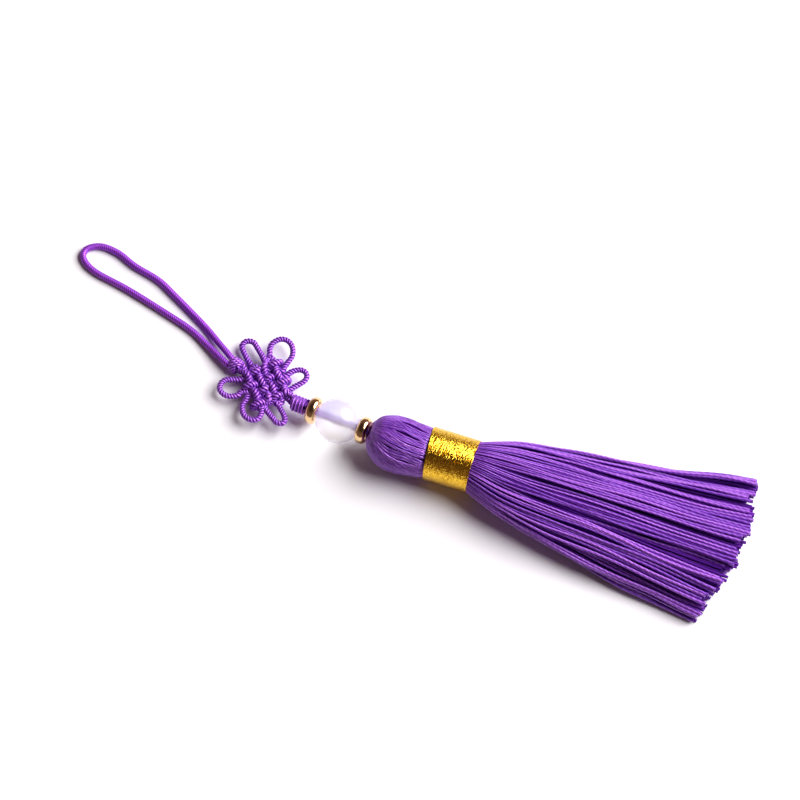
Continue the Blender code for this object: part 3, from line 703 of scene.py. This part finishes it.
# Painted shade: the ball inside the head, carried on into the skirt, is near black, so the gaps between threads
# look shaded.
core_painted_shade, nodes, shader = bare_finish("core_painted_shade")
core_shade = mixed(nodes, noise(nodes, on_piece(nodes), 3000.0), (0.02, 0.003, 0.07), (0.05, 0.01, 0.16))
nodes.links.new(core_shade, shader.inputs["Base Color"])
shader.inputs["Roughness"].default_value = 0.8
WADDING_AND_SHADE_CORE = (  # along, radius
    (-6.5, 0.0), (-6.4, 1.6), (-5.9, 2.9), (-4.9, 4.0), (-2.95, 5.0), (0.0, 5.4), (3.0, 5.2), (5.2, 4.95),
    (6.6, 4.7), (17.0, 4.4), (20.0, 3.9), (26.0, 2.4), (32.0, 0.0),
)
wadding_and_shade_core = turned("wadding_and_shade_core", [(r, -x) for x, r in WADDING_AND_SHADE_CORE], 48,
                 Matrix.Translation(from_head(0)) @ Matrix.Rotation(-math.pi / 2, 4, "Y"), core_painted_shade)
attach(wadding_and_shade_core, "root")
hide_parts("tassel")

# Skirt of the tassel -----------------------------------------------------------------
# The same threads hang free past the neck and fan out on the table, singly and in bunches
# of two or three, with dark furrows between them, where painted shade on the lower threads
# adds to their depth. Their cut ends are a little ragged.

SKIRT = (  # along, half width, top, how far it lies flat
    (16.4, 5.4, 11.3, 0.0), (18.6, 6.4, 11.4, 0.0), (21.0, 7.35, 11.15, 0.0), (24.0, 8.45, 10.9, 0.03),
    (29.0, 9.85, 10.5, 0.2), (37.0, 11.6, 9.95, 0.42), (46.0, 13.1, 9.4, 0.7), (54.0, 14.4, 8.9, 0.85),
    (61.5, 15.6, 8.5, 0.93), (68.5, 16.9, 8.2, 1.0), (73.0, 17.6, 8.0, 1.0), (80.0, 18.4, 7.8, 1.0),
)
SKIRT_FROM, STATIONS = 16.2, 22  # where the threads leave the neck, and the points along each
FLAT_EDGE = 1.5
END_AT, END_BULGE, END_SLANT, END_SPARE = 72.9, 3.8, 0.08, 0.3
END_WIDE, END_TOP = 17.6, 8.0
NOTCH_DEEP, NOTCH_WIDE = 1.4, 0.07
NOTCHES = (0.68, 0.04, -0.34, -0.72)  # where the cut end falls back between clumps, as shares of its half width


def skirt_size(along):
    """Half width, top and flatness of the skirt at this place."""
    for a, b in zip(SKIRT, SKIRT[1:]):
        if along <= b[0]:
            share = max(0.0, (along - a[0]) / (b[0] - a[0]))
            return tuple(a[i] + (b[i] - a[i]) * share for i in (1, 2, 3))
    return SKIRT[-1][1:]


def end_of(side):
    """How far along a thread at this side was cut."""
    notch = sum(math.exp(-(((side - at) / NOTCH_WIDE) ** 2)) for at in NOTCHES)
    return END_AT + END_BULGE * (1 - side * side) + END_SLANT * side * 17.5 + END_SPARE - NOTCH_DEEP * notch


def crown_height(side, top):
    """How high the flattened skirt is at this side."""
    return FLAT_EDGE + (top - FLAT_EDGE) * max(0.0, 1 - abs(side) ** 2.4) ** 0.62


def even_sides(count):
    """Sides from 1 to -1 at even steps over the crown of the lying fan, as shares of its half width."""
    sides = [math.cos(math.pi * i / 600) for i in range(601)]
    run = [0.0]
    for a, b in zip(sides, sides[1:]):
        run.append(run[-1] + math.hypot((b - a) * END_WIDE, crown_height(b, END_TOP) - crown_height(a, END_TOP)))
    even, k = [], 0
    for i in range(count):
        want = run[-1] * (i + 0.5) / count
        while run[k + 1] < want:
            k += 1
        even.append(sides[k] + (sides[k + 1] - sides[k]) * (want - run[k]) / (run[k + 1] - run[k]))
    return even


def over_skirt(along, share, side, inset):
    """A point on the skirt's upper surface, this far below it."""
    wide, top, flat = skirt_size(along)
    turn = math.pi * share
    reach = wide - 0.4 * inset
    round_y, round_z = reach * math.cos(turn), HEAD_HIGH + (top - HEAD_HIGH - inset) * math.sin(turn)
    flat_y, flat_z = reach * side, crown_height(side, top) - inset
    return round_y + (flat_y - round_y) * flat, round_z + (flat_z - round_z) * flat


BUNCH_SIZES = (1, 1, 1, 2, 2, 2, 3, 3)


def bunches(count):
    """For each thread: its bunch's middle, how many threads it lies from that, and the bunch's nature."""
    out, number = [], 0
    while number < count:
        size = min(random.choice(BUNCH_SIZES) if number else 4, count - number)
        nature = {"phase": random.uniform(0, 6.3), "sink": random.uniform(0.1, 0.3),
                  "sway": random.uniform(0.1, 0.55), "reach": random.gauss(0.0, 0.45),
                  "waver": random.uniform(0, 6.3), "high": random.uniform(-1.0, 0.4),
                  "close": random.uniform(0.72, 0.92), "astray": random.gauss(0.0, 0.6)}
        if not number:
            nature["sway"] = 0.1  # the uppermost bunch keeps to the edge
        for i in range(size):
            out.append((number + (size - 1) / 2, i - (size - 1) / 2, nature))
        number += size
    return out


def skirt_threads(count, inset, seed, drawn=1.0):
    """One layer of threads over the skirt, bunched."""
    random.seed(seed)
    sides, routes = even_sides(count), []
    for number, (middle, place, nature) in enumerate(bunches(count)):
        side, share = sides[number], (number + 0.5) / count
        low = int(middle)
        middle_side = (sides[low] + sides[min(count - 1, math.ceil(middle))]) / 2
        phase, sway = random.uniform(0, 6.3), random.uniform(0.04, 0.2)
        lift = random.uniform(-0.22, 0.2)
        end = end_of(side) + max(-1.3, min(0.8, nature["reach"] + random.gauss(0, 0.25)))
        route = []
        for i in range(STATIONS):
            along = SKIRT_FROM + (end - SKIRT_FROM) * i / (STATIONS - 1)
            loose = ease(along, 18.0, 34.0)
            pitch = 2.4 * skirt_size(along)[0] / count
            share_thick = min(1.0, 0.9 * pitch / THREAD_THICK)
            tight = 1.0 + 0.12 * math.sin(nature["waver"] + along / 8.0) + 0.3 * ease(along, 45, 72)
            close = nature["close"] * tight
            drawing = drawn * min(1.0, max(0.0, 1 - THREAD_THICK * share_thick * close / pitch))
            here = side + (middle_side - side) * drawing
            here_share = share + ((middle + 0.5) / count - share) * drawing
            dip = 0.6 + 0.4 * math.sin(nature["waver"] + along / 6.5 + place)
            sunk = nature["sink"] * abs(place) * dip - nature["high"]
            if side < 0.25 and nature["high"] < -0.45:
                sunk += 0.4
            below = inset + THREAD_THICK * 0.5 + drawn * (loose * sunk - lift)
            y, z = over_skirt(along, here_share, here, below)
            bunch_sway = loose * nature["sway"] * math.sin(nature["phase"] + along / 9.0)
            own_sway = sway * (0.3 + 0.7 * loose) * math.sin(phase + along / 4.2)
            flare = 0.8 * ease(along, 56.0, 70.0) * ease(side, 0.5, 1.0)
            y += bunch_sway + own_sway + flare
            y += nature["astray"] * ease(along, 22.0, 70.0) * (1 - side * side)
            z = max(z, THREAD_THICK * 0.48)
            swelling = 1 + 0.2 * ease(along, end - 12, end)
            route.append((from_head(along, y, z - HEAD_HIGH), share_thick * swelling))
        routes.append(route)
    return routes


def skirt_floor(count, seed):
    """The lowest threads, which lie on the table."""
    random.seed(seed)
    routes = []
    for number in range(count):
        share = (number + 0.5) / count
        side = 0.97 * (1 - 2 * share)
        phase, sway, lift = random.uniform(0, 6.3), random.uniform(0.05, 0.2), random.uniform(0, 0.25)
        end = end_of(side) - 1.6 + random.gauss(0, 0.5)
        route = []
        for i in range(16):
            along = SKIRT_FROM + (end - SKIRT_FROM) * i / 15
            wide, _, flat = skirt_size(along)
            turn = math.pi * share
            y = (wide - 0.3) * (math.cos(turn) * (1 - flat) + side * flat) + sway * math.sin(phase + along / 6)
            z = (HEAD_HIGH - 4.75 * math.sin(turn)) * (1 - flat) + 0.3 * flat + lift * flat
            route.append((from_head(along, y, max(z, 0.31) - HEAD_HIGH), 0.6 + 0.4 * ease(along, 16.0, 32.0)))
        routes.append(route)
    return routes


def skirt_filling(columns, seed):
    """The threads inside the fan, seen only at its cut end and down its furrows."""
    random.seed(seed)
    routes = []
    for column in range(columns):
        side = 0.96 * (2 * (column + 0.5) / columns - 1)
        tall = crown_height(side, END_TOP) - 1.6
        rows = max(0, round(tall / 0.6))
        for row in range(rows):
            level = (row + 0.5) / rows
            drift, phase = random.uniform(-0.25, 0.25), random.uniform(0, 6.3)
            end = end_of(side) - 2.0 * (1 - level) + random.gauss(-0.3, 0.5)
            route = []
            for i in range(10):
                along = 18.0 + (end - 18.0) * i / 9
                wide, top, flat = skirt_size(along)
                half = (top - HEAD_HIGH - 0.8) * math.sqrt(max(0.0, 1 - side * side))
                low = (HEAD_HIGH - half) * (1 - flat) + 0.7 * flat
                high = (HEAD_HIGH + half) * (1 - flat) + (crown_height(side, top) - 1.3) * flat
                y = side * (wide - 0.5) + drift + 0.2 * math.sin(phase + along / 8)
                z = max(low + (high - low) * level, 0.5)
                route.append((from_head(along, y, z - HEAD_HIGH), 0.6 + 0.4 * ease(along, 16, 32)))
            routes.append(route)
    return routes


top_threads = skirt_threads(46, inset=0.0, seed=31)
for name, threads, seed in (("skirt_threads_upper_side", top_threads[:23], 41),
                            ("skirt_threads_lower_side", top_threads[23:], 42)):
    thread_piece(name, threads, sides=9, step=0.25, seed=seed, groove=0.09, thick=THREAD_THICK, turn=3.0)
# The deeper layers and the filling take the painted-shade copy of the thread, which darkens the furrows between
# bunches.
thread_piece("skirt_threads_second", skirt_threads(54, inset=1.6, seed=33, drawn=0.3), sides=6, step=0.6, seed=43,
             groove=0.08, finish=shadowed_thread, turn=11.0)
thread_piece("skirt_threads_third", skirt_threads(50, inset=2.3, seed=34, drawn=0.2), sides=6, step=0.8, seed=44,
             groove=0.08, finish=shadowed_thread, turn=11.0)
thread_piece("skirt_threads_on_table", skirt_floor(50, seed=35), sides=6, step=0.55, seed=45)
thread_piece("skirt_threads_inside", skirt_filling(42, seed=36), sides=6, step=2.2, seed=46, groove=0.04,
             finish=shadowed_thread, turn=60.0)

# Gold binding ------------------------------------------------------------------------
# The neck is bound with flat metal thread, wound some forty times edge to edge. The thread
# is creased, so that it glitters, and the first turns lean a little towards the head.

BINDING_START, BINDING_LONG, BINDING_RADIUS, BINDING_TURNS = 6.8, 10.15, 5.72, 38.0
BINDING_LEAN, BINDING_STEPS = 0.08, 2700
TAPE_WIDE, TAPE_CREASE = 0.17, 0.02

gold_thread, nodes, shader = bare_finish("gold_thread")
own_place = on_piece(nodes)
# Painted glints: some cells of the gold are painted lighter and others darker, as creased facets catch the lamp;
# the cells also vary its roughness.
sparks = put(nodes, "ShaderNodeTexVoronoi", {"Vector": own_place, "Scale": 3600.0}).outputs["Color"]
nodes.links.new(mixed(nodes, sparks, (0.96, 0.66, 0.08), (0.66, 0.38, 0.04)), shader.inputs["Base Color"])
nodes.links.new(ranged(nodes, sparks, 0.0, 1.0, 0.12, 0.28), shader.inputs["Roughness"])
creases = put(nodes, "ShaderNodeBump", {"Strength": 0.8, "Distance": 0.00006,
              "Height": noise(nodes, own_place, 4200.0)})
nodes.links.new(creases.outputs[0], shader.inputs["Normal"])
shader.inputs["Metallic"].default_value = 1.0

# Wound tape: a flat thread goes round and round, creased from place to place.
tape, given, made = growing_tree("wound_tape", {
    "Turns": "Float", "Radius": "Float", "Start": "Float", "Long": "Float", "Lean": "Float", "Steps": "Int",
    "Tape width": "Float", "Crease": "Float", "Seed": "Int", "Finish": "Material"})
straight = put(tape, "GeometryNodeCurvePrimitiveLine", {"Start": (0, 0, 0), "End": (1, 0, 0)})
steps = put(tape, "GeometryNodeResampleCurve", {"Curve": straight.outputs[0], "Count": given["Steps"]})
share = put(tape, "GeometryNodeSplineParameter").outputs["Factor"]
turn = reckon(tape, "MULTIPLY", reckon(tape, "MULTIPLY", share, given["Turns"]), 2 * math.pi)
spot = put(tape, "GeometryNodeInputIndex").outputs[0]
uneven = put(tape, "FunctionNodeRandomValue", {2: -1.0, 3: 1.0, "ID": spot, "Seed": given["Seed"]},
             data_type="FLOAT").outputs[1]
reach = reckon(tape, "ADD", given["Radius"], reckon(tape, "MULTIPLY", uneven, given["Crease"]))
side_y = reckon(tape, "MULTIPLY", reach, reckon(tape, "COSINE", turn))
side_z = reckon(tape, "MULTIPLY", reach, reckon(tape, "SINE", turn))
leaning = reckon(tape, "MULTIPLY", reckon(tape, "MULTIPLY", side_y, given["Lean"]),
                 reckon(tape, "SUBTRACT", 1.0, share))
advance = reckon(tape, "SUBTRACT", reckon(tape, "ADD", given["Start"],
                 reckon(tape, "MULTIPLY", share, given["Long"])), leaning)
round_it = put(tape, "GeometryNodeSetPosition", {"Geometry": steps.outputs[0], "Position": put(
    tape, "ShaderNodeCombineXYZ", {0: advance, 1: side_y, 2: side_z}).outputs[0]})
twist = put(tape, "FunctionNodeRandomValue", {2: -0.45, 3: 0.45, "ID": spot, "Seed": reckon(
    tape, "ADD", given["Seed"], 7.0)}, data_type="FLOAT").outputs[1]
creased = put(tape, "GeometryNodeSetCurveTilt", {"Curve": round_it.outputs[0], "Tilt": twist})
outwards = put(tape, "ShaderNodeCombineXYZ", {1: side_y, 2: side_z}).outputs[0]
upright = put(tape, "GeometryNodeSetCurveNormal", {"Curve": creased.outputs[0], "Normal": outwards},
              mode="FREE")
oval = put(tape, "GeometryNodeCurvePrimitiveCircle", {"Resolution": 6, "Radius": given["Tape width"]})
flat = put(tape, "ShaderNodeVectorMath", {0: put(tape, "GeometryNodeInputPosition").outputs[0],
           1: (0.45, 1.0, 1.0)}, operation="MULTIPLY").outputs[0]
flattened = put(tape, "GeometryNodeSetPosition", {"Geometry": oval.outputs[0], "Position": flat})
swept = put(tape, "GeometryNodeCurveToMesh", {"Curve": upright.outputs[0],
            "Profile Curve": flattened.outputs[0], "Fill Caps": True})
end_tree(tape, swept.outputs[0], given["Finish"], made, smooth=False)

short_line = [(Vector((0, 0, 0)), 1), (Vector((1, 0, 0)), 1)]  # the tree draws the winding itself
binding = grown("gold_binding_wound", line_of("gold_binding_wound", [short_line]), tape,
                **{"Turns": BINDING_TURNS, "Radius": BINDING_RADIUS * MM, "Start": BINDING_START * MM,
                   "Long": BINDING_LONG * MM, "Lean": BINDING_LEAN, "Steps": BINDING_STEPS,
                   "Tape width": TAPE_WIDE * MM, "Crease": TAPE_CREASE * MM, "Seed": 4, "Finish": gold_thread})
binding.data.transform(Matrix.Translation(from_head(0.0, 0.1, 0.1)))
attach(binding, "root")
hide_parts("gold_binding")
